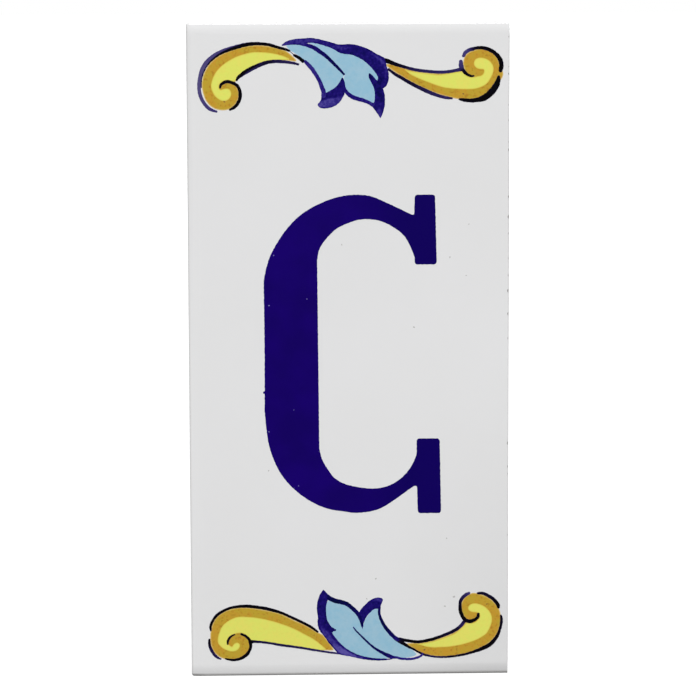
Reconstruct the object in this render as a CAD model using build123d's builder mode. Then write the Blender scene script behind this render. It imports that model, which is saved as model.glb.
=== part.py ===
from build123d import *
import math
import os

# A glazed earthenware letter tile for a house front: one half of a square pressed tile, sawn
# down its middle. Millimetres. X runs to the right and Z up as the tile hangs, and the glazed
# face looks towards -Y. The origin is the centre of the back, where it is bonded to the wall.

# The whole tile
tile_width = 73.0
tile_height = 150.0
tile_thickness = 8.0

# The pressed edges on the left, top and bottom. The face falls away gently over the roll,
# turns down the side in the arris, and ends in a bevel at the back.
corner_radius = 0.6
roll_width = 2.5
roll_radius = 11.0
arris_radius = 0.5
back_bevel = 0.8

# The sawn edge on the right, square but for a broken arris. The saw has nibbled the glaze:
# each chip is its distance below the tile's top and its length along the edge.
sawn_arris = 0.12
chip_depth_ratio = 0.24
chips = [
    (1.8, 0.6),
    (3.3, 0.7),
    (10.1, 0.6),
    (11.7, 0.8),
    (18.7, 0.6),
    (22.2, 0.7),
    (27.1, 0.6),
    (28.9, 0.8),
    (39.5, 0.8),
    (44.1, 1.0),
    (47.9, 0.7),
    (53.6, 0.6),
    (57.5, 0.7),
    (61.0, 1.1),
    (66.3, 1.0),
    (71.9, 0.8),
    (96.2, 1.1),
    (101.6, 0.9),
    (103.3, 0.7),
    (117.5, 0.7),
]

# The key on the back: shallow pockets between ribs, which the bonding mortar fills. The saw
# ran down the middle rib of the square tile, so the last rib on that side is thin.
key_columns = 4
key_rows = 8
key_border = 4.0
key_sawn_border = 1.5
key_rib = 3.0
key_depth = 0.7
key_draft = 35.0
key_corner_radius = 2.0

half_width = tile_width / 2
half_height = tile_height / 2

# The square tile as pressed: its left side is the finished tile's, and the saw takes the rest.
# The mould's curve runs on past the tile's sides by the reach of the roll.
square_side = tile_height
square_centre = square_side / 2 - half_width
roll_reach = roll_radius - roll_width

pocket_width = (tile_width - key_border - key_sawn_border - (key_columns - 1) * key_rib) / key_columns
pocket_height = (tile_height - 2 * key_border - (key_rows - 1) * key_rib) / key_rows
pocket_grid_centre = (key_border - key_sawn_border) / 2

# Section planes whose second axis points out of the glazed face
height_section = Plane(origin=(0, 0, 0), x_dir=(0, 0, 1), z_dir=(1, 0, 0))
width_section = Plane(origin=(0, 0, 0), x_dir=(1, 0, 0), z_dir=(0, 0, -1))


def chip_ball(drop, length):
    """Gives the radius and centre of the ball that bites a chip out of the sawn glaze edge."""
    depth = chip_depth_ratio * length
    radius = length**2 / (8 * depth) + depth / 2
    outward = (radius - depth) / math.sqrt(2)
    centre = (half_width + outward, -tile_thickness - outward, half_height - drop)
    return radius, centre


# The hollow of the press mould: a deep slab whose rounded front edges and corners form the roll
with BuildPart() as mould:
    with BuildSketch(Plane.XZ.offset(-2 * roll_radius)):
        with Locations((square_centre, 0)):
            Rectangle(square_side + 2 * roll_reach, square_side + 2 * roll_reach)
    extrude(amount=tile_thickness + 2 * roll_radius)
    uprights = mould.edges().filter_by(Axis.Y)
    front_edges = mould.faces().sort_by(Axis.Y)[0].edges()
    fillet(uprights + front_edges, radius=roll_radius)

with BuildPart() as tile:
    # The square tile, its corners rounded and its face pressed to the mould's curve
    with BuildSketch(Plane.XZ) as square_outline:
        with Locations((square_centre, 0)):
            Rectangle(square_side, square_side)
        fillet(square_outline.vertices(), radius=corner_radius)
    extrude(amount=tile_thickness)
    add(mould.part, mode=Mode.INTERSECT)

    # Arris where the rolled face turns down the sides
    sides = tile.faces().filter_by(lambda face: abs(face.normal_at().Y) < 0.01)
    rim = sides.edges().filter_by_position(Axis.Y, -tile_thickness, -tile_thickness / 2)
    fillet(rim, radius=arris_radius)

    # Bevel at the back of the top and bottom
    with BuildSketch(height_section) as height_profile:
        Rectangle(tile_height, tile_thickness, align=(Align.CENTER, Align.MIN))
        chamfer(height_profile.vertices().group_by(Axis.Y)[0], length=back_bevel)
    extrude(amount=square_side, both=True, mode=Mode.INTERSECT)

    # Bevel at the back of the left side, and the saw's cut on the right with its broken arrises
    with BuildSketch(width_section) as width_profile:
        Rectangle(tile_width, tile_thickness, align=(Align.CENTER, Align.MIN))
        left_corners = width_profile.vertices().group_by(Axis.X)[0]
        chamfer(left_corners.sort_by(Axis.Y)[0], length=back_bevel)
        chamfer(width_profile.vertices().group_by(Axis.X)[-1], length=sawn_arris)
    extrude(amount=tile_height, both=True, mode=Mode.INTERSECT)

    # Waffle key on the back
    with BuildSketch(Plane.XZ):
        with Locations((pocket_grid_centre, 0)):
            with GridLocations(pocket_width + key_rib, pocket_height + key_rib, key_columns, key_rows):
                RectangleRounded(pocket_width, pocket_height, key_corner_radius)
    extrude(amount=key_depth, taper=key_draft, mode=Mode.SUBTRACT)

    # Chips along the sawn edge
    for drop, length in chips:
        chip_radius, chip_centre = chip_ball(drop, length)
        with Locations(chip_centre):
            Sphere(chip_radius, mode=Mode.SUBTRACT)

tile.part.label = "tile"

os.makedirs("parts", exist_ok=True)
export_step(tile.part, "parts/tile.step")
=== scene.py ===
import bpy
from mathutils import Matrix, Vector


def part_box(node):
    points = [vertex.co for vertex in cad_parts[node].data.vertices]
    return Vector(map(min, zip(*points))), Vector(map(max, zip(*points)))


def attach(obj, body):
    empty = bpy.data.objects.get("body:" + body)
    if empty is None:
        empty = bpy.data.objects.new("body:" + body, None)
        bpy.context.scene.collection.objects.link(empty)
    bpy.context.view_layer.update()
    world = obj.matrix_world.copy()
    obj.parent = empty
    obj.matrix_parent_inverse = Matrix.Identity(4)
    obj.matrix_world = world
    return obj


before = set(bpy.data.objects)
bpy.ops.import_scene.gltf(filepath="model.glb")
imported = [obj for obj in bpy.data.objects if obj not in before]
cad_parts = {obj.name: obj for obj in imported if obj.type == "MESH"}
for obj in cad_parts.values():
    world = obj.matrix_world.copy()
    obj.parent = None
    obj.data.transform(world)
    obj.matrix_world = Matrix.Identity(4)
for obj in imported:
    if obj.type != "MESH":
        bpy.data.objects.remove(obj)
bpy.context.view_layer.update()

import math

import bpy
from mathutils import Matrix, Vector, geometry, kdtree, noise

# The tile stands as it hangs: X to the right, Z up, the glazed face towards -Y. Its sizes are in
# millimetres, and a painted shape's points are (x, z) on the face, measured from its centre.
MM = 0.001
tile_low, tile_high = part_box("tile")
face_y = tile_low.y
half_width = (tile_high.x - tile_low.x) / 2 / MM
half_height = (tile_high.z - tile_low.z) / 2 / MM

# The face's roll at the pressed edges
roll_width = 2.5
roll_radius = 11.0

# How far the fired colours stand above the glaze and reach into it
fill_height = 0.016
overlay_height = 0.022
scroll_line_height = 0.030
leaf_limb_height = 0.034
leaf_line_height = 0.040
letter_height = 0.030
pinhole_height = 0.034
speck_height = 0.012
colour_depth = 0.020

# How far wet colour spreads beyond the line that the brush drew
stroke_spread = 0.13
ochre_spread = 0.16
yellow_spread = 0.17
limb_spread = 0.1

# Over what reach melted colour rounds its corners
letter_softness = 1.4
ochre_softness = 0.5
field_softness = 0.4
limb_softness = 0.35

# How far the edge of brushed or stencilled colour wavers, and over what length
waver_reach = 0.06
waver_length = 0.5

# How full the leaves' dark colour is where nothing else is said, and how softly a stroke and a
# shade pass into what lies beside them
limb_fullness = 0.58
leaf_line_fullness = 0.12
stroke_soft_edge = 0.22
shade_soft_edge = 0.5

# Spacing of points along an outline and inside a field
outline_step = 0.12
line_grid = 0.16
field_grid = 0.32
letter_grid = 1.2


# Curves

def smooth_run(points):
    """Samples a smooth curve through the points, which may carry further values after x and z."""
    points = [Vector(p) for p in points]
    if len(points) == 2:
        count = max(1, math.ceil((points[1] - points[0]).length / outline_step))
        return [points[0].lerp(points[1], i / count) for i in range(count + 1)]
    ends = [2 * points[0] - points[1], 2 * points[-1] - points[-2]]
    path = [ends[0], *points, ends[1]]
    samples = []
    for before, start, end, after in zip(path, path[1:], path[2:], path[3:]):
        knots = [0.0]
        for near, far in ((before, start), (start, end), (end, after)):
            knots.append(knots[-1] + max((far - near).length, 1e-6) ** 0.5)
        count = max(1, math.ceil((end - start).length / outline_step))
        for i in range(count):
            t = knots[1] + (knots[2] - knots[1]) * i / count
            samples.append(centripetal(before, start, end, after, knots, t))
    samples.append(points[-1])
    return samples


def centripetal(a, b, c, d, knots, t):
    """A point of the smooth curve between b and c, with a and d as its neighbours."""
    def between(low, high, p, q):
        share = (t - low) / (high - low)
        return p * (1 - share) + q * share

    k0, k1, k2, k3 = knots
    ab = between(k0, k1, a, b)
    bc = between(k1, k2, b, c)
    cd = between(k2, k3, c, d)
    return between(k1, k2, between(k0, k2, ab, bc), between(k1, k3, bc, cd))


def outline(*runs):
    """A closed outline of smooth runs. Each run ends in a corner, where the next one starts."""
    loop = []
    for run, following in zip(runs, runs[1:] + runs[:1]):
        loop.extend(smooth_run([*run, following[0]])[:-1])
    return loop


def anticlockwise(loop):
    """The outline in anticlockwise order, which is how the filling tells inside from outside."""
    area = sum(p.x * q.y - q.x * p.y for p, q in zip(loop, loop[1:] + loop[:1]))
    return loop if area > 0 else loop[::-1]


def soften(loop, reach):
    """Rounds an outline's corners as melted enamel does, over the given reach."""
    near = max(1, round(reach / outline_step / 2))
    size = len(loop)
    rounded = []
    for i in range(size):
        neighbours = [loop[(i + k) % size] for k in range(-near, near + 1)]
        rounded.append(sum(neighbours, Vector((0, 0))) / (2 * near + 1))
    return rounded


def push(loop, reach_at):
    """Moves each point of an outline outwards, by what reach_at gives for it."""
    loop = anticlockwise(loop)
    moved = []
    for before, here, after in zip(loop[-1:] + loop[:-1], loop, loop[1:] + loop[:1]):
        along = (after - before).normalized()
        moved.append(here + Vector((along.y, -along.x)) * reach_at(here))
    return moved


def spread(loop, reach):
    """Moves an outline outwards by the given reach, as colour that has run a little."""
    return push(loop, lambda here: reach)


def waver(loop):
    """Roughens an outline slightly, as the edge of brushed or stencilled colour."""
    return push(loop, lambda here: waver_reach * noise.noise((*(here / waver_length), 0.0)))


def brush(points):
    """Samples a brush stroke. A point is x, z, the stroke's width and, if not 1, how full it is."""
    complete = [(*point, 1.0) if len(point) == 3 else point for point in points]
    return smooth_run([(x, z, width + stroke_spread, full) for x, z, width, full in complete])


def brush_outline(stroke):
    """The closed outline of a sampled brush stroke, with round ends."""
    left, right = [], []
    size = len(stroke)
    for i, p in enumerate(stroke):
        ahead = stroke[min(i + 1, size - 1)]
        behind = stroke[max(i - 1, 0)]
        along = Vector((ahead[0] - behind[0], ahead[1] - behind[1])).normalized()
        across = Vector((-along.y, along.x)) * p[2] / 2
        left.append(Vector((p[0], p[1])) + across)
        right.append(Vector((p[0], p[1])) - across)
    return left + round_end(left[-1], right[-1]) + right[::-1] + round_end(right[0], left[0])


def round_end(start, end):
    """Points of the half circle that bulges out between two corners of a stroke's end."""
    centre = (start + end) / 2
    arm = start - centre
    return [centre + Matrix.Rotation(-math.pi * i / 6, 2) @ arm for i in range(1, 6)]


def speck_loops(specks):
    """Outlines of small uneven specks: each is its place and its width."""
    corners = 14
    loops = []
    for number, (x, z, width) in enumerate(specks):
        loop = []
        for i in range(corners):
            angle = 2 * math.pi * i / corners
            lumps = 0.22 * math.sin(2 * angle + number) + 0.12 * math.sin(3 * angle - number)
            radius = width / 2 * (1 + lumps)
            loop.append(Vector((x + radius * math.cos(angle), z + radius * math.sin(angle))))
        loops.append(loop)
    return loops


# Meshes

def grid_points(loops, spacing):
    """Points of a staggered grid over the outlines, to carry colour between their edges."""
    xs = [p.x for loop in loops for p in loop]
    zs = [p.y for loop in loops for p in loop]
    points = []
    row_height = spacing * math.sqrt(3) / 2
    for row in range(math.ceil((max(zs) - min(zs)) / row_height)):
        z = min(zs) + (row + 0.5) * row_height
        shift = spacing / 2 * (row % 2)
        for column in range(math.ceil((max(xs) - min(xs)) / spacing)):
            points.append(Vector((min(xs) + shift + (column + 0.3) * spacing, z)))
    return points


def point_tree(points):
    """A search tree for the nearest of the points, by their first two values."""
    tree = kdtree.KDTree(len(points))
    for i, p in enumerate(points):
        tree.insert((p[0], p[1], 0), i)
    tree.balance()
    return tree


def nearest(tree, point):
    """The number of the tree's point that is nearest, and how far away it is."""
    _, number, distance = tree.find((point.x, point.y, 0))
    return number, distance


def fill(loops, spacing):
    """Triangles that cover the union of the outlines: points, triangles and edge pairs."""
    points, faces = [], []
    for loop in loops:
        faces.append(list(range(len(points), len(points) + len(loop))))
        points.extend(anticlockwise(loop))
    edge_tree = point_tree(points)
    clear = spacing * 0.45
    inner = [p for p in grid_points(loops, spacing) if nearest(edge_tree, p)[1] > clear]
    filled = geometry.delaunay_2d_cdt(points + inner, [], faces, 0, 1e-5)
    points, _, triangles, _, _, sources = filled
    triangles = [tuple(t) for t, source in zip(triangles, sources) if source]
    sides = {}
    for a, b, c in triangles:
        for pair in ((a, b), (b, c), (c, a)):
            sides[pair] = True
    rim = [pair for pair in sides if pair[::-1] not in sides]
    return points, triangles, rim


def add_object(name, data):
    """A new object in the scene, for a mesh, a lamp or a camera."""
    made = bpy.data.objects.new(name, data)
    bpy.context.scene.collection.objects.link(made)
    return made


def enamel(name, loops, height, material, spacing, base=0.0, strokes=(), shades=()):
    """Builds a thin closed layer of fired colour on the face, over the union of the outlines."""
    points, triangles, rim = fill(loops, spacing)
    used = sorted({i for t in triangles for i in t})
    place = {old: new for new, old in enumerate(used)}
    size = len(used)
    top = [(points[i].x * MM, face_y - height * MM, points[i].y * MM) for i in used]
    bottom = [(points[i].x * MM, face_y + colour_depth * MM, points[i].y * MM) for i in used]
    faces = []
    for a, b, c in triangles:
        faces.append((place[a], place[b], place[c]))
        faces.append((place[c] + size, place[b] + size, place[a] + size))
    for a, b in rim:
        faces.append((place[b], place[a], place[a] + size, place[b] + size))
    mesh = bpy.data.meshes.new(name)
    mesh.from_pydata(top + bottom, [], faces)
    mesh.update()
    kept = [points[i] for i in used]
    rim_tree = point_tree([points[a] for a, _ in rim])
    store(mesh, "inset", [nearest(rim_tree, p)[1] for p in kept])
    store(mesh, "fullness", fullness(kept, base, strokes, shades))
    mesh.materials.append(material)
    piece = add_object(name, mesh)
    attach(piece, "root")


def store(mesh, name, values):
    """Stores one value for each point of a layer's top, and the same for the point below it."""
    mesh.attributes.new(name, "FLOAT", "POINT").data.foreach_set("value", values + values)


def fullness(points, base, strokes, shades):
    """How full the colour is at each point. Strokes deepen the base, and shades set it anew."""
    values = [base] * len(points)
    marks = [(stroke, stroke_soft_edge, True) for stroke in strokes]
    marks += [(shade, shade_soft_edge, False) for shade in shades]
    for stroke, soft_edge, deepens in marks:
        tree = point_tree(stroke)
        for n, point in enumerate(points):
            number, distance = nearest(tree, point)
            _, _, width, full = stroke[number]
            share = min(1.0, max(0.0, (width / 2 - distance) / soft_edge + 0.6))
            share = share * share * (3 - 2 * share)
            full = max(values[n], full) if deepens else full
            values[n] = values[n] * (1 - share) + full * share
    return values


# Materials

glaze_peel_size = 5.0
glaze_peel_depth = 0.012
enamel_roughness = 0.14


def srgb(red, green, blue):
    """A colour given in 0 to 255 display values, as the shader's linear values."""
    def linear(value):
        share = value / 255
        return share / 12.92 if share <= 0.04045 else ((share + 0.055) / 1.055) ** 2.4
    return (linear(red), linear(green), linear(blue), 1.0)


class Nodes:
    """Short ways to add and link the nodes of a material or a world."""

    def __init__(self, owner):
        owner.use_nodes = True
        self.owner = owner
        self.tree = owner.node_tree

    def give(self, node, inputs):
        """Sets or links a node's inputs, which are named or numbered."""
        for name, value in inputs.items():
            if isinstance(value, bpy.types.NodeSocket):
                self.tree.links.new(value, node.inputs[name])
            else:
                node.inputs[name].default_value = value

    def node(self, kind, inputs=None, **settings):
        made = self.tree.nodes.new(kind)
        for name, value in settings.items():
            setattr(made, name, value)
        self.give(made, inputs or {})
        return made

    def math(self, operation, *values):
        return self.node("ShaderNodeMath", dict(enumerate(values)), operation=operation).outputs[0]

    def product(self, first, *others):
        for value in others:
            first = self.math("MULTIPLY", first, value)
        return first

    def mix(self, share, first, second, kind="RGBA"):
        inputs = {"Factor": share, "A": first, "B": second}
        return self.node("ShaderNodeMix", inputs, data_type=kind).outputs["Result"]

    def range(self, value, low, high, start=0.0, end=1.0):
        """Eases from start, at low, to end, at high."""
        inputs = {"Value": value, "From Min": low, "From Max": high, "To Min": start, "To Max": end}
        return self.node("ShaderNodeMapRange", inputs, interpolation_type="SMOOTHSTEP").outputs["Result"]

    def place(self):
        return self.node("ShaderNodeTexCoord").outputs["Object"]

    def scaled(self, factors):
        """The object's own coordinates, times a factor each."""
        inputs = {0: self.place(), 1: factors}
        return self.node("ShaderNodeVectorMath", inputs, operation="MULTIPLY").outputs["Vector"]

    def millimetres(self):
        """The object's own x, y and z."""
        return self.node("ShaderNodeSeparateXYZ", {0: self.scaled((1 / MM, 1 / MM, 1 / MM))}).outputs

    def noise(self, size, detail=2.0, stretch=None):
        """Noise whose lumps are about the given size, from 0 to 1."""
        place = self.scaled(stretch) if stretch else self.place()
        inputs = {"Vector": place, "Scale": 1 / (size * MM), "Detail": detail}
        return self.node("ShaderNodeTexNoise", inputs).outputs["Fac"]

    def attribute(self, name):
        return self.node("ShaderNodeAttribute", attribute_name=name).outputs["Fac"]

    def ramp(self, value, colours):
        """Passes through the colours at even steps, from 0 to 1."""
        made = self.node("ShaderNodeValToRGB", {"Fac": value})
        stops = made.color_ramp.elements
        stops[0].color = colours[0]
        stops[1].color = colours[-1]
        for i, colour in enumerate(colours[1:-1], start=1):
            stops.new(i / (len(colours) - 1)).color = colour
        return made.outputs["Color"]

    def bump(self, height, depth, before=None):
        inputs = {"Height": height, "Distance": depth * MM}
        if before:
            inputs["Normal"] = before
        return self.node("ShaderNodeBump", inputs).outputs["Normal"]

    def peel(self, before=None):
        """The faint unevenness of a fired glaze."""
        return self.bump(self.noise(glaze_peel_size, 1.0), glaze_peel_depth, before)

    def seen(self):
        """One for what is seen, straight or reflected, and zero for the light that it gives."""
        rays = self.node("ShaderNodeLightPath").outputs
        straight = self.math("MAXIMUM", rays["Is Camera Ray"], rays["Is Glossy Ray"])
        return self.math("MAXIMUM", straight, rays["Is Transmission Ray"])


class Shader(Nodes):
    """A new material with its surface shader."""

    def __init__(self, name):
        super().__init__(bpy.data.materials.new(name))
        self.surface = self.tree.nodes["Principled BSDF"]

    def finish(self, colour, specular, roughness=enamel_roughness, normal=None):
        """Gives the surface its looks: those of a fired enamel, where nothing else is said."""
        self.give(self.surface, {
            "Base Color": colour,
            "Specular IOR Level": specular,
            "Roughness": roughness,
            "Normal": normal or self.peel(),
        })
        return self.owner


def rolled_corner_slope(made, x, y, z):
    """The surface's slope, taken from the mould's own curve where the two rolled corners start."""
    core_x = roll_width - half_width
    core_y = face_y / MM + roll_radius
    core_z = half_height - roll_width
    above = made.math("MAXIMUM", made.math("SUBTRACT", z, core_z), 0.0)
    below = made.math("MINIMUM", made.math("ADD", z, core_z), 0.0)
    outward = made.node("ShaderNodeCombineXYZ", {
        "X": made.math("MINIMUM", made.math("SUBTRACT", x, core_x), 0.0),
        "Y": made.math("SUBTRACT", y, core_y),
        "Z": made.math("ADD", above, below),
    }).outputs["Vector"]
    turned = made.node(
        "ShaderNodeVectorTransform", {"Vector": outward},
        vector_type="NORMAL", convert_from="OBJECT", convert_to="WORLD",
    ).outputs["Vector"]
    unit = made.node("ShaderNodeVectorMath", {0: turned}, operation="NORMALIZE").outputs["Vector"]
    at_side = made.math("LESS_THAN", x, core_x + roll_width)
    at_end = made.math("GREATER_THAN", made.math("ABSOLUTE", z), core_z - roll_width)
    near_face = made.range(made.math("SUBTRACT", y, face_y / MM), 0.08, 0.19, 1.0, 0.0)
    share = made.product(at_side, at_end, near_face)
    as_built = made.node("ShaderNodeNewGeometry").outputs["Normal"]
    return made.mix(share, as_built, unit, "VECTOR")


def glaze_colour_with_painted_shade(made, x, z):
    """White, with painted shade that makes it a little greyer in the lower sawn corner, on the upper half
    and on the rolled edges.
    """
    white = made.mix(made.noise(24.0, 3.0), srgb(219, 219, 219), srgb(223, 223, 224))
    to_cut = made.range(x, 6.0, half_width)
    to_foot = made.range(z, -half_height, 0.0, 0.085, 0.0)
    upper_half = made.range(z, -10.0, 45.0)
    side_roll_shade = made.range(x, 0.5 - half_width, 1.4 - half_width, 0.045, 0.0)
    foot_roll_shade = made.range(z, 1.6 - half_height, 3.1 - half_height, 1.0, 0.0)
    # Painted shade: greyer towards the lower sawn corner, over the upper half, on the rolled left edge there
    # and along the rolled foot
    shade = made.product(to_cut, to_foot)
    shade = made.math("MULTIPLY_ADD", upper_half, made.math("ADD", side_roll_shade, 0.028), shade)
    shade = made.math("MULTIPLY_ADD", foot_roll_shade, made.math("MULTIPLY_ADD", to_cut, 0.06, 0.055), shade)
    return made.mix(shade, white, srgb(110, 109, 108))


def biscuit_colour(made, grain):
    """Pale fired clay, grained and patchy."""
    clay = made.mix(grain, srgb(198, 189, 174), srgb(222, 215, 202))
    patch = made.range(made.noise(14.0, 3.0), 0.35, 0.75, 0.0, 0.5)
    return made.mix(patch, clay, srgb(205, 191, 170))


def arris_painted_shade(made, x, z, depth):
    """The share of grey, a painted shade, on the arris, most of all along the bottom."""
    low = made.range(z, 0.2 - half_height, 0.9 - half_height, 0.6, 0.0)
    # The painted shade is deeper towards the left end of the bottom arris
    deeper_left_end = made.range(x, 1.4 - half_width, 3.6 - half_width, 1.35, 1.0)
    aside = made.range(x, 0.1 - half_width, 0.6 - half_width, 0.12, 0.0)
    thin = made.math("MAXIMUM", made.product(low, deeper_left_end), aside)
    return made.product(thin, made.range(depth, 0.8, 1.2, 1.0, 0.0))


def tile_material():
    """White tin glaze over a pale biscuit, bare on the back, down the sides and where it is sawn."""
    made = Shader("white_glazed_earthenware")
    x, y, z = made.millimetres()
    depth = made.math("SUBTRACT", y, face_y / MM)

    # The strip beside the saw's cut, and the cut itself
    cut_strip = 0.55
    cut_skin = 0.004
    clear_of_rolls = made.math("LESS_THAN", made.math("ABSOLUTE", z), half_height - roll_width - 0.1)
    beside_cut = made.product(made.math("GREATER_THAN", x, half_width - cut_strip), clear_of_rolls)
    sawn = made.math("MAXIMUM", beside_cut, made.math("GREATER_THAN", x, half_width - cut_skin))

    # How far behind the face the glaze ends: far down the pressed sides, at once on the cut
    glaze_run = made.math("MULTIPLY_ADD", made.noise(7.0), 3.0, 4.6)
    glaze_layer = made.math("MULTIPLY_ADD", made.noise(2.5), 0.25, 0.2)
    glaze_end = made.mix(sawn, glaze_run, glaze_layer, "FLOAT")
    bare = made.range(made.math("SUBTRACT", depth, glaze_end), -0.12, 0.12)

    grain = made.noise(0.5, 4.0)
    # The glaze's colour carries painted shade
    colour = made.mix(bare, glaze_colour_with_painted_shade(made, x, z), biscuit_colour(made, grain))
    # Painted shade on the arris, darkest along the bottom
    colour = made.mix(arris_painted_shade(made, x, z, depth), colour, srgb(96, 92, 88))

    # Darker colour in the chips and along the broken arris beside the cut, most of it higher up
    inside_cut = made.math("LESS_THAN", x, half_width - cut_skin)
    behind_face = made.range(depth, 0.02, 0.10)
    nibbled = made.product(beside_cut, inside_cut, behind_face, made.range(z, -30.0, 20.0, 0.5, 1.0))
    colour = made.mix(nibbled, colour, made.mix(grain, srgb(78, 75, 71), srgb(118, 114, 108)))

    roughness = made.math("MULTIPLY_ADD", bare, 0.76, 0.10)
    saw_marks = made.noise(0.6, 3.0, stretch=(1.0, 1.0, 0.04))
    rough_height = made.product(made.math("ADD", grain, saw_marks), bare)
    normal = made.bump(rough_height, 0.05, made.peel(rolled_corner_slope(made, x, y, z)))
    return made.finish(colour, 0.3, roughness, normal)


def field_material(name, thin, light, deep, fleck, fleck_share):
    """A brushed fill: thin at its edge, clouded, and flecked where the colour gathered."""
    made = Shader(name)
    broad = made.product(made.noise(3.2, 3.0), 0.55)
    wash = made.math("MULTIPLY_ADD", made.noise(0.9, 2.0), 0.45, broad)
    colour = made.mix(made.range(wash, 0.36, 0.64), light, deep)
    specks = made.range(made.noise(0.6, 2.0), 0.52, 0.72, 0.0, fleck_share)
    colour = made.mix(specks, colour, fleck)
    edge = made.range(made.attribute("inset"), 0.0, 0.34, 0.75, 0.0)
    colour = made.mix(edge, colour, thin)
    return made.finish(colour, specular=0.12)


def line_material(name, streak_size, streak_share, colours):
    """Brushed outline colour, from thin to full, streaked as the brush left it."""
    made = Shader(name)
    streak = made.math("SUBTRACT", made.noise(streak_size, 3.0), 0.5)
    full = made.math("MULTIPLY_ADD", streak, streak_share, made.attribute("fullness"))
    return made.finish(made.ramp(full, colours), specular=0.02)


def letter_material():
    """Full cobalt enamel, a little uneven, and thicker on the serifs, as if sponged through a stencil."""
    made = Shader("cobalt_enamel")
    cloud = made.range(made.noise(9.0, 4.0), 0.3, 0.7)
    colour = made.mix(cloud, srgb(18, 0, 91), srgb(22, 0, 102))
    thicker = made.range(made.millimetres()["X"], -2.0, 14.0, 0.0, 0.75)
    colour = made.mix(thicker, colour, srgb(12, 0, 84))
    return made.finish(colour, specular=0.02)


def speck_material(name, dark, light):
    """Specks that show through the glaze or the colour on it."""
    made = Shader(name)
    colour = made.mix(made.noise(0.4), dark, light)
    return made.finish(colour, specular=0.4)


scroll_line_enamel = line_material("scroll_line_enamel", 1.1, 0.3, [
    srgb(86, 79, 122),
    srgb(62, 54, 110),
    srgb(38, 31, 80),
    srgb(14, 10, 40),
    srgb(3, 2, 4),
])
leaf_line_enamel = line_material("leaf_line_enamel", 0.55, 0.7, [
    srgb(88, 79, 156),
    srgb(57, 48, 131),
    srgb(28, 15, 107),
    srgb(7, 6, 74),
    srgb(0, 7, 42),
])
cobalt_enamel = letter_material()
iron_specks = speck_material("iron_specks", srgb(160, 158, 156), srgb(196, 195, 193))
pinhole_glaze = speck_material("pinhole_glaze", srgb(70, 58, 140), srgb(128, 122, 178))
brown_specks = speck_material("brown_specks", srgb(112, 74, 20), srgb(150, 104, 30))
ochre_enamel = field_material(
    "ochre_enamel",
    thin=srgb(220, 194, 126),
    light=srgb(182, 154, 44),
    deep=srgb(190, 144, 42),
    fleck=srgb(158, 106, 24),
    fleck_share=0.6,
)
yellow_enamel = field_material(
    "yellow_enamel",
    thin=srgb(206, 184, 70),
    light=srgb(215, 220, 99),
    deep=srgb(221, 216, 99),
    fleck=srgb(206, 204, 92),
    fleck_share=0.2,
)
pale_blue_enamel = field_material(
    "pale_blue_enamel",
    thin=srgb(156, 192, 216),
    light=srgb(140, 183, 205),
    deep=srgb(151, 187, 206),
    fleck=srgb(136, 178, 197),
    fleck_share=0.25,
)


# Painted shapes

def letter_outline():
    """A condensed slab-serif capital, drawn anticlockwise from the upper serif's outer corner."""
    outer_top = [
        (14.91, 31.26), (8.3, 34.44), (4.95, 35.8), (1.74, 36.13), (-1.36, 35.85), (-4.96, 34.8),
        (-8.87, 32.95), (-11.95, 30.68), (-14.92, 27.25), (-17.95, 22.04), (-19.28, 17.06),
    ]
    outer_stem = [(-19.36, 16.46), (-19.25, 0.59)]
    outer_bottom = [
        (-19.33, -13.29), (-18.88, -17.99), (-18.23, -21.78), (-16.13, -27.07), (-13.47, -30.62),
        (-10.42, -33.25), (-7.07, -35.21), (-4.27, -36.21), (-1.46, -36.63), (0.94, -37.01),
        (4.24, -36.81), (7.05, -36.06), (10.15, -34.22), (14.86, -30.92),
    ]
    inner_bottom = [
        (15.46, -23.68), (14.18, -26.35), (12.52, -28.49), (10.48, -30.06), (8.15, -31.05), (5.34, -31.4),
        (1.64, -30.97), (-0.91, -30.32), (-3.26, -29.02), (-5.17, -26.48), (-6.19, -24.58),
        (-6.77, -22.48),
    ]
    inner_stem = [(-6.85, -21.88)]
    inner_top = [
        (-7.17, 21.36), (-6.63, 23.81), (-5.28, 25.91), (-2.91, 28.3), (-0.36, 29.57), (2.54, 30.46),
        (5.9, 30.42), (8.15, 29.78), (10.4, 28.54), (12.58, 26.78), (13.91, 24.52),
    ]
    return outline(
        [(19.67, 36.06)], [(15.06, 36.06)],
        outer_top, outer_stem, outer_bottom,
        [(15.56, -30.68)], [(15.71, -37.21)], [(21.08, -37.21)], [(20.75, -19.88)], [(15.46, -19.88)],
        inner_bottom, inner_stem, inner_top,
        [(15.01, 21.97)], [(15.06, 20.17)], [(20.07, 20.18)],
    )


def paint_letter():
    """The letter, with one small drop beside its stem and pinholes where the glaze shows."""
    letter = waver(soften(letter_outline(), letter_softness))
    drop = speck_loops([(-19.35, -8.97, 0.6)])
    pinholes = speck_loops([
        (-17.04, 22.42, 0.28), (-18.17, 10.96, 0.3), (-9.54, 12.41, 0.24),
        (-18.35, -18.07, 0.28), (-11.64, -30.63, 0.26), (-12.65, -13.08, 0.22),
    ])
    enamel("letter", [letter, *drop], letter_height, cobalt_enamel, letter_grid)
    enamel("letter_pinholes", pinholes, pinhole_height, pinhole_glaze, line_grid)


def paint_scroll(name, ochre, yellow, strokes):
    """One scroll: an ochre horn with a volute, yellow in its hollow, and brushed outlines."""
    strokes = [brush(points) for points in strokes]
    ochre = spread(soften(ochre, ochre_softness), ochre_spread)
    yellow = soften(yellow, field_softness)
    lines = [waver(brush_outline(stroke)) for stroke in strokes]
    enamel(name + "_ochre", [ochre], fill_height, ochre_enamel, field_grid)
    enamel(name + "_yellow", [yellow], overlay_height, yellow_enamel, field_grid)
    enamel(name + "_lines", lines, scroll_line_height, scroll_line_enamel, line_grid,
           strokes=strokes)


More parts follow.
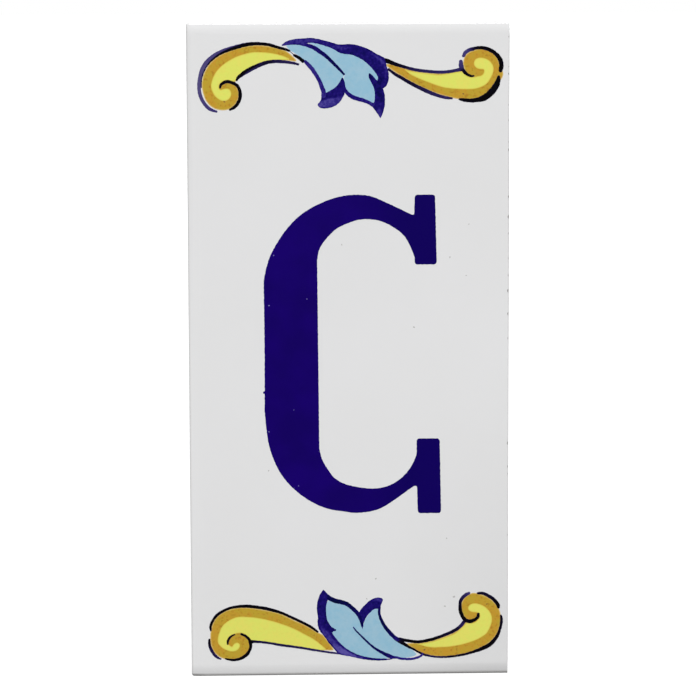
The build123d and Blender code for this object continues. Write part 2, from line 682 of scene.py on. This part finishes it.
def paint_leaves(name, blue, limbs, strokes, shades):
    """A pair of leaves: a pale blue field with dark limbs and brushed outlines over it."""
    strokes = [brush(points) for points in strokes]
    shades = [brush(points) for points in shades]
    blue = [soften(loop, field_softness) for loop in blue]
    limbs = [waver(soften(loop, limb_softness)) for loop in limbs]
    lines = [waver(brush_outline(stroke)) for stroke in strokes]
    enamel(name + "_blue", blue, fill_height, pale_blue_enamel, field_grid)
    enamel(name + "_limbs", limbs, leaf_limb_height, leaf_line_enamel, line_grid,
           limb_fullness, shades=shades)
    enamel(name + "_lines", lines, leaf_line_height, leaf_line_enamel, line_grid,
           leaf_line_fullness, strokes)


def paint_top_left_scroll():
    ochre = outline([
        (-11.7, 66.4), (-12.7, 67.42), (-14.0, 68.45), (-15.97, 69.15), (-18.48, 69.65), (-20.98, 69.79),
        (-23.98, 69.39), (-27.98, 68.04), (-30.38, 66.49), (-31.76, 64.79), (-32.56, 62.99),
        (-32.86, 61.0), (-32.56, 59.1), (-31.79, 57.3), (-30.38, 56.0), (-28.48, 55.51), (-26.88, 55.76),
        (-25.58, 56.81), (-24.93, 58.11), (-24.83, 59.3), (-25.18, 60.4), (-25.78, 61.3),
    ], [
        (-25.28, 62.4), (-23.98, 63.9), (-20.38, 65.95), (-17.98, 66.65), (-15.47, 66.85),
    ])
    yellow = outline([
        (-13.17, 66.75), (-14.97, 67.45), (-16.97, 67.95), (-19.98, 68.25), (-21.98, 68.15),
        (-25.98, 66.84), (-29.48, 64.14), (-30.79, 61.0), (-30.48, 59.6), (-29.68, 58.4), (-28.48, 57.65),
        (-27.38, 57.75), (-26.68, 58.5), (-26.58, 59.3), (-26.98, 60.0), (-27.78, 60.05),
    ], [
        (-28.88, 59.75), (-29.28, 60.2), (-29.33, 60.9), (-28.68, 61.8), (-27.58, 62.25),
    ], [
        (-25.68, 61.95), (-24.88, 63.1), (-23.58, 64.2), (-19.98, 66.05), (-17.98, 66.6), (-15.47, 66.8),
    ])
    strokes = [[
        (-29.78, 55.06, 0.36, 0.25), (-31.19, 55.6, 0.62, 0.28), (-32.47, 56.88, 0.65, 0.22),
        (-33.35, 58.63, 0.7, 0.14), (-33.65, 60.6, 0.7, 0.1), (-33.41, 62.55, 0.84, 0.1),
        (-32.85, 64.56, 0.88, 0.1), (-31.77, 66.28, 0.86, 0.14), (-30.11, 67.69, 0.82, 0.18),
        (-28.03, 68.74, 0.78, 0.2), (-25.58, 69.49, 0.78, 0.3), (-23.58, 70.02, 0.72, 0.5),
        (-21.98, 70.24, 0.68, 0.9), (-19.98, 70.29, 0.6), (-17.97, 70.08, 0.58), (-15.97, 69.5, 0.55),
        (-14.15, 69.01, 0.46), (-13.25, 68.68, 0.35),
    ], [
        (-33.1, 60.45, 0.02, 0.6), (-33.1, 61.45, 0.02, 0.8), (-32.95, 62.64, 0.02), (-32.45, 64.14, 0.04),
        (-31.45, 65.79, 0.12), (-30.06, 67.14, 0.24), (-28.14, 68.34, 0.36), (-25.78, 69.24, 0.56),
        (-23.58, 69.91, 0.6), (-21.98, 70.19, 0.6),
    ], [
        (-12.12, 67.67, 0.44), (-11.19, 67.17, 0.58), (-10.19, 66.39, 0.7),
    ], [
        (-13.3, 68.68, 0.02, 0.9), (-12.7, 68.2, 0.02, 0.8), (-12.1, 67.65, 0.04, 0.9),
    ], [
        (-25.18, 62.11, 0.27, 0.9), (-24.82, 62.68, 0.57, 0.7), (-24.23, 63.2, 0.72, 0.6),
        (-21.43, 64.88, 0.87, 0.5), (-18.38, 66.07, 0.69, 0.8), (-16.67, 66.31, 0.63, 0.7),
        (-14.97, 66.27, 0.61, 0.6), (-12.27, 65.9, 0.45, 0.65), (-11.25, 65.62, 0.34, 0.7),
    ], [
        (-25.15, 62.17, 0.4), (-24.73, 62.78, 0.5), (-24.03, 63.48, 0.55), (-22.95, 64.31, 0.48),
        (-21.65, 65.01, 0.4), (-20.28, 65.63, 0.25, 0.8),
    ], [
        (-28.95, 60.45, 0.32), (-28.68, 61.12, 0.48), (-27.93, 61.66, 0.58), (-27.08, 61.8, 0.62),
        (-25.16, 61.0, 0.6), (-24.58, 60.06, 0.64), (-24.39, 58.79, 0.7), (-24.59, 57.63, 0.66),
        (-25.11, 56.66, 0.64), (-25.98, 55.87, 0.54), (-26.71, 55.51, 0.38),
    ]]
    paint_scroll("scroll_top_left", ochre, spread(yellow, yellow_spread), strokes)


def paint_top_right_scroll():
    ochre = outline([
        (8.6, 65.47), (10.06, 64.37), (12.06, 63.03), (16.06, 60.78), (20.07, 59.09), (23.58, 58.09),
        (25.28, 57.79), (27.08, 57.64), (29.08, 57.8), (31.09, 58.85), (32.69, 60.35), (33.89, 61.55),
        (34.7, 62.45), (34.95, 63.44), (34.14, 65.34), (33.84, 66.44), (33.19, 67.49), (32.19, 68.29),
        (31.09, 68.74), (30.09, 68.84), (28.69, 68.59), (27.38, 68.04), (26.58, 67.29), (26.23, 66.34),
        (26.18, 65.44), (26.43, 64.54),
    ], [
        (26.48, 63.64), (25.48, 63.89), (20.57, 63.33), (16.06, 63.68), (12.06, 64.78), (10.26, 65.42),
    ])
    yellow = outline([
        (12.66, 64.48), (14.06, 64.03), (18.61, 63.38), (20.57, 63.18), (24.28, 63.69), (25.68, 63.84),
        (26.38, 63.24), (27.28, 62.69), (28.28, 62.59), (29.29, 62.79), (30.19, 62.99), (30.69, 63.54),
    ], [
        (30.74, 64.34), (29.59, 64.44), (28.89, 64.79), (28.48, 65.39), (28.48, 66.04), (28.84, 66.64),
        (29.49, 66.94), (30.39, 66.96), (31.39, 66.64), (32.19, 66.09), (32.74, 65.29), (32.94, 64.29),
        (32.69, 63.24), (31.53, 61.26), (30.53, 60.56), (29.13, 60.06), (27.42, 59.86), (23.12, 60.06),
        (21.07, 60.44), (15.1, 62.73), (13.7, 63.53),
    ])
    strokes = [[
        (8.05, 66.54, 0.85, 0.9), (9.36, 66.12, 0.85), (10.76, 65.56, 0.72, 0.95),
        (12.26, 65.12, 0.6, 0.85), (14.06, 64.58, 0.58, 0.65), (16.06, 64.18, 0.6, 0.55),
        (20.57, 63.75, 0.58, 0.5), (22.57, 63.86, 0.6, 0.48), (24.28, 64.12, 0.6, 0.48),
        (25.48, 64.37, 0.75, 0.4),
    ], [
        (25.52, 66.14, 0.7, 0.3), (25.52, 65.34, 0.95, 0.35), (25.7, 64.64, 0.95, 0.5),
        (26.05, 64.14, 0.7, 0.85), (26.58, 63.49, 0.6), (27.28, 63.04, 0.5), (27.98, 62.84, 0.4),
        (28.43, 62.91, 0.22),
    ], [
        (9.18, 64.42, 0.45, 0.73), (10.61, 63.36, 0.55, 0.78), (12.16, 62.45, 0.63, 0.78),
        (14.14, 61.29, 0.66, 0.73), (18.11, 59.35, 0.74, 0.58), (20.07, 58.58, 0.64, 0.53),
        (22.07, 58.02, 0.56, 0.48), (23.48, 57.84, 0.34, 0.68),
    ], [
        (25.23, 57.62, 0.36), (26.28, 57.46, 0.65), (27.71, 57.33, 0.75), (29.17, 57.47, 0.88),
        (30.59, 57.84, 1.25), (31.8, 58.65, 1.35), (32.77, 59.64, 1.4), (33.57, 60.82, 1.22),
        (33.96, 61.9, 0.95), (34.07, 62.65, 0.55),
    ], [
        (26.13, 67.45, 0.6, 0.22), (26.47, 68.07, 0.7, 0.22), (27.05, 68.55, 0.72, 0.28),
        (27.98, 68.9, 0.7, 0.6), (28.97, 69.14, 0.62, 0.95), (30.06, 69.22, 0.65), (31.32, 69.02, 0.7),
        (32.59, 68.44, 0.75), (33.67, 67.57, 0.8), (34.38, 66.57, 0.92), (34.66, 65.51, 0.92),
        (34.6, 64.54, 0.88), (34.47, 64.09, 0.75),
    ]]
    paint_scroll("scroll_top_right", ochre, yellow, strokes)


def paint_bottom_left_scroll():
    ochre = outline([
        (-3.82, -69.02), (-5.42, -66.77), (-6.42, -65.57), (-7.42, -65.07), (-10.52, -63.22),
        (-12.43, -62.37), (-16.13, -60.58), (-18.03, -60.03), (-23.83, -59.08), (-25.63, -59.1),
        (-27.54, -59.47), (-29.04, -60.07), (-30.34, -61.02), (-31.24, -62.27), (-31.99, -65.16),
        (-31.69, -68.16), (-31.04, -69.36), (-30.04, -70.26), (-28.64, -70.86), (-26.84, -71.06),
        (-25.13, -70.66), (-23.93, -69.81), (-23.23, -68.56),
    ], [
        (-23.03, -66.96), (-21.73, -66.71), (-18.03, -67.17), (-14.33, -67.69), (-6.82, -68.69),
        (-5.02, -69.02),
    ])
    yellow = outline([
        (-5.4, -68.97), (-6.72, -67.72), (-8.62, -66.27), (-10.52, -65.23), (-12.43, -64.18),
        (-14.33, -63.33), (-18.03, -62.08), (-21.83, -61.28), (-25.63, -61.07), (-27.34, -61.62),
        (-28.64, -62.47), (-29.54, -63.47), (-30.44, -66.16), (-30.34, -67.26), (-29.64, -68.14),
        (-28.54, -68.84), (-27.24, -69.19), (-26.14, -68.99), (-25.48, -68.34), (-25.33, -67.76),
        (-25.58, -67.26), (-26.14, -67.11), (-26.64, -67.36),
    ], [
        (-27.19, -68.14), (-27.74, -67.71), (-28.24, -67.46), (-28.29, -66.86), (-27.94, -65.96),
        (-27.24, -65.37),
    ], [
        (-26.34, -65.02), (-25.43, -64.87), (-24.33, -65.13), (-23.33, -65.93),
    ], [
        (-22.73, -66.72), (-21.73, -66.97), (-18.03, -67.42), (-10.52, -68.57), (-6.82, -69.22),
    ])
    strokes = [[
        (-32.04, -64.22, 0.26, 0.9), (-32.09, -63.42, 0.48), (-31.79, -62.42, 0.5), (-31.09, -61.22, 0.52),
        (-30.19, -60.32, 0.55), (-28.99, -59.59, 0.52), (-27.44, -58.98, 0.5), (-24.83, -58.6, 0.6),
        (-23.03, -58.65, 0.65), (-21.03, -58.91, 0.62), (-19.03, -59.26, 0.65), (-15.45, -60.36, 0.5),
        (-13.65, -61.21, 0.5), (-10.04, -63.0, 0.5), (-8.64, -63.83, 0.48), (-7.44, -64.75, 0.36),
    ], [
        (-32.36, -66.31, 0.32), (-32.39, -67.16, 0.5), (-32.19, -68.16, 0.58, 0.7),
        (-31.74, -69.16, 0.58, 0.62), (-31.04, -70.11, 0.55, 0.6), (-30.34, -70.68, 0.42, 0.55),
        (-29.79, -70.91, 0.22, 0.5),
    ], [
        (-28.69, -70.86, 0.22), (-27.74, -71.11, 0.4), (-26.74, -71.19, 0.45), (-25.73, -71.03, 0.5),
        (-24.7, -70.62, 0.6), (-23.77, -69.9, 0.65), (-23.16, -69.02, 0.55), (-22.86, -67.92, 0.58),
        (-23.0, -66.97, 0.6), (-23.34, -66.22, 0.52), (-24.09, -65.57, 0.48), (-24.99, -65.12, 0.38),
    ], [
        (-22.83, -67.01, 0.9), (-22.13, -66.91, 0.57, 0.8), (-18.83, -67.25, 0.41, 0.65),
        (-16.83, -67.63, 0.44, 0.65), (-14.83, -67.96, 0.46, 0.7), (-12.83, -68.23, 0.41, 0.6),
        (-10.82, -68.56, 0.41, 0.6), (-4.82, -69.61, 0.34, 0.5), (-2.02, -69.98, 0.31, 0.4),
    ], [
        (-26.57, -65.22, 0.2, 0.9), (-27.17, -65.51, 0.32), (-27.77, -66.04, 0.38), (-28.12, -66.69, 0.42),
        (-28.17, -67.39, 0.32),
    ]]
    paint_scroll("scroll_bottom_left", ochre, yellow, strokes)


def paint_bottom_right_scroll():
    ochre = outline([
        (13.2, -67.83), (14.7, -68.73), (16.81, -70.02), (21.41, -70.81), (25.02, -70.53), (28.12, -69.7),
        (30.83, -68.48), (32.03, -67.73), (33.03, -66.83), (33.83, -65.74), (34.38, -64.49),
        (34.78, -61.99), (34.33, -59.79), (33.13, -58.19), (32.13, -57.34), (30.93, -56.74),
        (28.62, -56.14), (27.52, -56.49), (26.62, -57.19), (26.07, -58.09), (25.87, -59.19),
        (26.07, -60.59), (26.57, -61.49),
    ], [
        (27.02, -62.69), (26.12, -63.84), (24.12, -65.38), (19.61, -67.13), (16.61, -67.68),
    ])
    yellow = outline([
        (15.4, -67.93), (16.41, -68.13), (17.51, -68.48), (19.01, -68.71), (20.71, -68.7), (22.51, -68.63),
        (26.07, -68.06), (29.27, -67.01), (30.58, -66.31), (31.68, -65.47), (32.73, -63.25),
        (32.88, -62.05), (32.63, -60.95), (32.03, -60.0), (31.13, -59.2), (30.03, -58.65), (28.93, -58.43),
        (28.02, -58.6), (27.47, -59.09), (27.32, -59.69), (27.72, -60.24), (28.42, -60.5),
    ], [
        (29.23, -60.55), (29.88, -60.8), (30.03, -61.55), (29.58, -62.35), (28.72, -62.95),
        (27.92, -63.09),
    ], [
        (26.92, -62.99), (26.12, -63.88), (24.17, -65.51), (22.61, -66.13), (19.61, -67.18),
        (18.11, -67.53),
    ])
    strokes = [[
        (11.4, -66.73, 0.8, 0.75), (12.7, -66.94, 0.65), (15.2, -67.32, 0.58), (16.41, -67.3, 0.6),
        (19.37, -66.69, 0.6), (22.37, -65.61, 0.62, 0.8), (23.88, -64.93, 0.64, 0.85),
        (25.08, -64.21, 0.65, 0.75), (25.88, -63.44, 0.68, 0.5), (26.48, -62.64, 0.7, 0.65),
    ], [
        (10.6, -66.58, 0.75, 0.55), (11.6, -67.23, 0.75, 0.8), (12.7, -67.92, 0.64), (13.8, -68.6, 0.46),
        (14.8, -69.09, 0.34), (15.81, -69.73, 0.36), (16.91, -70.25, 0.41, 0.8),
        (19.61, -70.89, 0.33, 0.6), (23.22, -70.9, 0.35, 0.9), (26.72, -70.35, 0.43, 0.9),
        (28.34, -69.89, 0.48), (29.75, -69.42, 0.62), (31.05, -68.87, 0.82), (32.25, -68.22, 0.82),
        (33.25, -67.32, 0.75), (34.0, -66.27, 0.68), (34.5, -65.18, 0.55), (34.85, -64.03, 0.52, 0.95),
        (35.05, -62.83, 0.55, 0.9), (35.05, -61.83, 0.5, 0.95), (34.93, -61.33, 0.28),
    ], [
        (27.5, -56.04, 0.55, 0.35), (26.85, -56.39, 0.68, 0.45), (26.15, -56.99, 0.65, 0.65),
        (25.65, -57.74, 0.65, 0.75), (25.49, -58.59, 0.62, 0.9), (25.64, -60.49, 0.75),
        (26.48, -62.09, 0.72), (27.18, -62.54, 0.72), (27.88, -62.64, 0.8), (29.24, -62.04, 0.6),
        (29.64, -61.49, 0.62), (29.71, -60.94, 0.55),
    ], [
        (29.58, -56.09, 0.38, 0.9), (30.38, -56.05, 0.55, 0.85), (31.38, -56.35, 0.62, 0.8),
        (33.13, -57.44, 0.68, 0.9), (33.78, -58.12, 0.7), (34.25, -58.89, 0.75), (34.38, -59.37, 0.6),
    ]]
    paint_scroll("scroll_bottom_right", ochre, yellow, strokes)


def paint_top_leaves():
    left_blue = outline([
        (-14.07, 69.85), (-12.17, 70.2), (-9.57, 69.95), (-7.26, 68.91), (-5.76, 67.91), (-4.16, 66.51),
        (-3.06, 65.31), (-0.96, 63.22),
    ], [
        (-1.26, 62.42), (-1.96, 61.42), (-2.96, 60.32), (-4.16, 59.42),
    ], [
        (-5.06, 59.02), (-5.46, 60.22), (-7.36, 63.66), (-8.97, 65.81), (-11.17, 67.6), (-13.07, 68.8),
    ])
    right_blue = outline([
        (-9.07, 70.5), (-7.87, 70.45), (-4.96, 69.71), (-3.36, 69.11), (-1.96, 68.41), (1.04, 67.86),
        (2.65, 67.12), (4.05, 66.17), (5.35, 64.92), (6.35, 63.52), (6.8, 62.32), (6.45, 61.03),
        (6.25, 59.43), (6.15, 57.93),
    ], [
        (5.55, 56.53), (4.25, 57.28), (2.65, 58.03), (1.04, 58.62), (0.04, 59.22), (-0.56, 60.02),
    ], [
        (-1.06, 62.62), (-0.76, 63.22), (-1.66, 64.47), (-3.56, 66.51), (-5.96, 68.66), (-7.87, 70.0),
    ])
    upper_limb = outline([
        (-14.97, 69.9), (-12.97, 70.12), (-10.97, 70.08), (-9.67, 69.9),
    ], [
        (-9.07, 70.55), (-7.94, 70.54), (-4.63, 69.68), (-3.13, 69.05), (-1.86, 68.26), (1.04, 67.76),
        (2.55, 67.09), (4.05, 66.12), (6.33, 63.62), (6.85, 62.42),
    ], [
        (6.63, 61.82), (6.23, 62.07), (5.53, 62.97),
    ], [
        (4.73, 63.58), (4.79, 62.62), (5.33, 61.52), (5.93, 60.13), (6.13, 58.63), (5.98, 57.13),
    ], [
        (5.48, 56.13), (6.53, 54.73),
    ], [
        (7.32, 53.53), (7.98, 55.43), (8.23, 57.23), (8.13, 58.93),
    ], [
        (7.78, 60.13), (8.48, 60.73), (8.94, 61.63), (9.09, 63.33), (8.66, 64.92), (8.36, 66.22),
    ], [
        (8.05, 67.07), (6.45, 67.82), (4.95, 68.72), (3.05, 69.51), (1.05, 70.01), (-2.16, 70.0),
        (-4.36, 70.62), (-8.27, 71.46), (-9.97, 71.37), (-11.97, 71.23), (-13.87, 70.69),
    ])
    calyx = outline([
        (-1.32, 62.59), (-1.73, 61.78), (-2.33, 60.88), (-3.3, 60.05), (-4.1, 59.55),
    ], [
        (-4.87, 59.19), (-5.86, 59.02), (-6.01, 57.82), (-6.41, 57.02), (-6.81, 56.67), (-6.66, 56.17),
        (-5.76, 55.82), (-4.16, 55.92), (-2.79, 56.5), (-1.79, 57.4), (-0.74, 59.6), (-0.74, 60.9),
        (-0.99, 61.9),
    ])
    strokes = [[
        (-10.37, 70.13, 0.5, 0.4), (-9.07, 69.88, 0.7, 0.5), (-7.62, 69.33, 0.82, 0.62),
        (-6.32, 68.43, 0.78, 0.7), (-5.16, 67.61, 0.72, 0.74), (-1.86, 64.37, 0.48, 0.82),
        (-0.94, 63.37, 0.36, 0.85),
    ], [
        (-9.6, 66.2, 0.62, 0.45), (-9.05, 65.6, 0.74, 0.38), (-8.2, 64.68, 0.76, 0.36),
        (-6.55, 62.01, 0.76, 0.44), (-6.0, 60.61, 0.86, 0.44), (-5.57, 59.41, 0.9, 0.41),
        (-5.55, 58.51, 0.88, 0.36),
    ], [
        (-0.86, 60.62, 0.3, 0.6), (-0.56, 59.62, 0.6, 0.56), (0.14, 58.82, 0.78, 0.52),
        (1.14, 58.19, 0.82, 0.5), (2.25, 57.79, 0.82, 0.5), (3.45, 57.46, 0.76, 0.48),
        (4.55, 57.01, 0.66, 0.44), (5.55, 56.45, 0.7, 0.4),
    ]]
    shades = [[
        (-14.57, 70.0, 0.4, 0.28), (-12.47, 70.75, 0.8, 0.38), (-9.47, 70.9, 0.6, 0.36),
        (-6.46, 70.75, 0.5, 0.43), (-3.46, 69.76, 0.5, 0.48), (-1.16, 69.21, 0.5, 0.38),
        (0.64, 69.31, 0.4, 0.5),
    ], [
        (5.45, 67.92, 0.3, 0.35), (7.45, 66.52, 0.4, 0.32), (8.45, 64.62, 0.3, 0.38),
        (8.55, 62.63, 0.3, 0.4),
    ], [
        (7.05, 55.03, 0.7, 0.35), (7.2, 53.83, 0.5, 0.3),
    ], [
        (-1.56, 58.1, 0.8, 0.36), (-2.76, 57.2, 1.5, 0.3), (-4.2, 56.9, 1.8, 0.24),
        (-6.1, 56.6, 1.2, 0.18),
    ], [
        (-1.41, 62.22, 0.5, 0.75), (-1.56, 60.82, 0.6, 0.62),
    ], [
        (4.85, 63.22, 0.3, 0.8), (6.05, 60.63, 0.5, 0.62),
    ], [
        (7.55, 62.82, 0.9, 0.72), (6.95, 60.63, 0.8, 0.7), (7.15, 57.63, 0.8, 0.68),
    ]]
    limbs = [spread(upper_limb, limb_spread), spread(calyx, limb_spread)]
    paint_leaves("leaves_top", [left_blue, right_blue], limbs, strokes, shades)


def paint_bottom_leaves():
    blue = outline([
        (-4.82, -57.28), (-5.42, -58.38), (-5.62, -59.68), (-5.52, -60.98), (-5.12, -62.18),
        (-4.42, -63.38), (-4.02, -65.57), (-3.42, -66.47), (-1.31, -68.72), (1.89, -70.47), (5.79, -71.27),
        (7.69, -71.32), (9.2, -71.07), (10.7, -71.02), (12.2, -71.12), (14.9, -70.66),
    ], [
        (15.5, -70.2), (14.4, -69.2), (11.4, -67.53), (8.5, -64.68), (7.7, -63.28), (6.99, -61.88),
        (6.64, -60.68),
    ], [
        (6.69, -59.38), (5.69, -59.53), (3.79, -61.58), (3.29, -62.78),
    ], [
        (2.98, -63.98), (2.49, -62.48), (2.09, -61.38), (1.19, -60.38), (0.19, -59.38), (-1.01, -58.53),
        (-2.42, -58.18), (-3.82, -57.78),
    ])
    left_limb = outline([
        (-6.02, -54.86), (-6.84, -55.99), (-7.34, -57.38), (-7.57, -58.88), (-7.52, -60.18),
        (-7.34, -61.48), (-7.44, -62.58), (-7.24, -63.77), (-6.74, -64.77), (-5.75, -66.04),
        (-4.8, -67.49), (-3.75, -68.67), (-2.9, -69.69), (-1.82, -70.25), (-0.31, -70.57), (3.89, -71.44),
        (6.19, -71.65), (8.4, -71.57),
    ], [
        (10.0, -71.32), (8.2, -71.21), (6.19, -71.14), (4.44, -70.9), (2.66, -70.48), (1.07, -69.88),
        (-1.65, -68.04), (-3.55, -65.86),
    ], [
        (-4.1, -65.02), (-3.72, -64.67), (-3.22, -64.59), (-3.12, -64.29), (-3.62, -64.02),
        (-4.32, -63.48), (-4.82, -62.73), (-5.22, -61.88), (-5.45, -59.18), (-5.3, -58.18),
    ], [
        (-5.02, -57.33), (-4.72, -56.54),
    ])
    right_calyx = outline([
        (2.09, -60.4), (2.54, -62.28), (2.74, -63.58),
    ], [
        (2.93, -64.33), (3.14, -63.18), (3.54, -61.98), (4.19, -60.9), (5.79, -59.55),
    ], [
        (6.54, -59.5), (6.99, -59.2), (7.25, -58.51), (7.65, -57.31), (7.3, -56.96), (6.59, -56.86),
        (5.69, -57.01), (4.69, -57.51), (3.69, -58.4), (2.79, -59.3),
    ])
    strokes = [[
        (-5.32, -56.38, 0.9, 0.65), (-4.42, -57.03, 0.95, 0.8), (-3.32, -57.53, 0.95, 0.88),
        (-2.02, -57.83, 0.9, 0.9), (-0.81, -58.23, 0.85, 0.85), (0.19, -58.93, 0.8, 0.8),
        (1.89, -60.63, 0.8, 0.75), (2.39, -61.54, 0.8, 0.72), (2.74, -62.64, 0.6, 0.75),
        (2.89, -63.54, 0.4, 0.75),
    ], [
        (6.84, -59.18, 0.5, 0.7), (6.78, -60.18, 0.48, 0.75), (6.91, -61.08, 0.5, 0.8),
        (7.87, -63.28, 0.68, 0.85), (9.38, -65.28, 0.75, 0.75), (10.23, -66.13, 0.78, 0.6),
        (11.03, -66.72, 0.75, 0.62),
    ], [
        (0.85, -63.78, 0.14, 0.6), (1.52, -64.65, 0.22, 0.75), (5.62, -68.64, 0.4, 0.75),
        (7.83, -69.99, 0.64, 0.7), (8.83, -70.49, 0.78, 0.65), (9.73, -70.87, 0.7, 0.55),
    ], [
        (9.6, -70.92, 0.6, 0.5), (10.8, -70.99, 0.45, 0.45), (12.0, -71.29, 0.42, 0.42),
        (14.7, -71.29, 0.4, 0.38), (16.51, -70.62, 0.36, 0.4), (16.81, -70.22, 0.3, 0.45),
    ]]
    shades = [[
        (-6.42, -63.57, 0.5, 0.46), (-5.72, -64.87, 0.9, 0.36), (-4.72, -66.27, 0.8, 0.3),
        (-3.52, -67.77, 1.0, 0.22), (-2.02, -69.17, 1.1, 0.08), (-0.41, -70.07, 0.9, 0.06),
        (1.19, -70.67, 0.5, 0.15), (2.79, -71.07, 0.3, 0.35),
    ], [
        (-3.42, -64.47, 0.3, 0.7), (-4.42, -63.68, 0.4, 0.68), (-5.12, -62.48, 0.3, 0.64),
        (-5.57, -60.78, 0.3, 0.6),
    ], [
        (-3.82, -65.67, 0.1, 0.5), (-2.92, -66.97, 0.1, 0.5), (-1.72, -68.22, 0.1, 0.5),
        (-0.31, -69.27, 0.1, 0.45),
    ], [
        (3.79, -70.92, 0.3, 0.62), (5.59, -71.37, 0.3, 0.66), (8.2, -71.42, 0.3, 0.55),
    ], [
        (5.39, -57.49, 0.3, 0.4), (6.59, -57.29, 0.5, 0.3), (7.3, -57.59, 0.4, 0.32),
    ], [
        (-6.0, -65.85, 0.1, 0.68), (-4.95, -67.4, 0.16, 0.85), (-3.9, -68.62, 0.16, 0.85),
        (-3.2, -69.35, 0.1, 0.6),
    ]]
    paint_leaves("leaves_bottom", [blue], [left_limb, right_calyx], strokes, shades)


def paint_specks():
    """Small grey specks in the glaze, and brown ones where iron gathered in the ochre."""
    grey = speck_loops([
        (6.04, -52.44, 0.35), (24.07, -56.84, 0.5), (21.96, -59.04, 0.4), (3.94, -57.14, 0.3),
        (-1.56, 24.76, 0.3), (23.07, 21.77, 0.35), (-18.48, -27.07, 0.3), (27.38, 29.27, 0.28),
        (26.78, 17.58, 0.26), (14.86, 5.79, 0.4), (22.37, -43.16, 0.3),
    ])
    brown = speck_loops([
        (17.26, -69.23, 0.45), (31.68, -58.64, 0.35), (26.08, 58.84, 0.4), (-27.98, 57.3, 0.4),
    ])
    enamel("glaze_specks", grey, speck_height, iron_specks, line_grid)
    enamel("ochre_specks", brown, overlay_height, brown_specks, line_grid)


# Stage, its floor and lamps in metres

def backdrop_material():
    """A pale studio floor: white to the camera and in reflections, softer in the light it returns."""
    made = Shader("studio_floor")
    away = made.node("ShaderNodeVectorMath", {0: made.place()}, operation="LENGTH").outputs["Value"]
    lift = made.range(away, 0.25, 1.6, 0.86, 1.05)
    made.give(made.surface, {
        "Base Color": (0.20, 0.20, 0.20, 1.0),
        "Roughness": made.math("MULTIPLY_ADD", made.noise(400.0), 0.1, 0.9),
        "Specular IOR Level": 0.0,
        "Emission Color": (1.0, 1.0, 1.0, 1.0),
        "Emission Strength": made.product(made.seen(), lift),
    })
    return made.owner


def build_stage():
    reach = 14.0
    z = tile_low.z
    mesh = bpy.data.meshes.new("floor")
    corners = [(-reach, -reach, z), (reach, -reach, z), (reach, reach, z), (-reach, reach, z)]
    mesh.from_pydata(corners, [], [(0, 1, 2, 3)])
    mesh.materials.append(backdrop_material())
    floor = add_object("floor", mesh)


def build_world():
    """White to look at, and much weaker as a light."""
    light_share = 0.35
    made = Nodes(bpy.data.worlds.new("studio"))
    strength = made.math("MULTIPLY_ADD", made.seen(), 1 - light_share, light_share)
    made.give(made.tree.nodes["Background"], {"Color": (1.0, 1.0, 1.0, 1.0), "Strength": strength})
    bpy.context.scene.world = made.owner


def aim(thing, place, target, roll=0.0):
    """Puts a camera or lamp at a place, looking at the target and rolled by so many degrees."""
    place = Vector(place)
    look = (Vector(target) - place).to_track_quat("-Z", "Y").to_matrix().to_4x4()
    thing.matrix_world = Matrix.Translation(place) @ look @ Matrix.Rotation(math.radians(roll), 4, "Z")


def build_softbox(name, distance, height_angle, side_angle, size, energy):
    """A square soft lamp, so many degrees above the floor and round to the right of the front."""
    height_angle = math.radians(height_angle)
    side_angle = math.radians(side_angle)
    place = (
        distance * math.cos(height_angle) * math.sin(side_angle),
        -distance * math.cos(height_angle) * math.cos(side_angle),
        distance * math.sin(height_angle),
    )
    lamp = bpy.data.lights.new(name, "AREA")
    lamp.shape = "SQUARE"
    lamp.size = size
    lamp.energy = energy
    softbox = add_object(name, lamp)
    aim(softbox, place, (0, face_y, 0))
    return softbox


def build_lamps():
    """A large soft lamp high in front and a little to the left, and a weak one for the back."""
    build_softbox("front_softbox", distance=3.9, height_angle=48.0, side_angle=-10.0, size=1.8, energy=172.5)
    back_lamp = build_softbox(
        "back_softbox", distance=3.5, height_angle=12.0, side_angle=142.0, size=2.0, energy=90.0
    )
    back_lamp.visible_glossy = False


def build_camera():
    """The photograph's view: a long lens a little above the tile and to its left."""
    lens_place = Vector((-23.19, -695.8, 84.41)) * MM
    target = Vector((-0.21, 0.0, 1.11)) * MM
    face = Vector((0, face_y, 0))
    camera = bpy.data.cameras.new("camera")
    camera.sensor_width = 36.0
    camera.lens = 158.93
    camera.clip_start = 0.05
    camera.clip_end = 60.0
    seat = add_object("camera", camera)
    aim(seat, face + lens_place, face + target, roll=-0.173)
    bpy.context.scene.camera = seat


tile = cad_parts["tile"]
tile.data.materials.clear()
tile.data.materials.append(tile_material())
paint_letter()
paint_top_left_scroll()
paint_top_right_scroll()
paint_bottom_left_scroll()
paint_bottom_right_scroll()
paint_top_leaves()
paint_bottom_leaves()
paint_specks()

build_stage()
build_world()
build_lamps()
build_camera()
bpy.context.scene.view_settings.view_transform = "Standard"
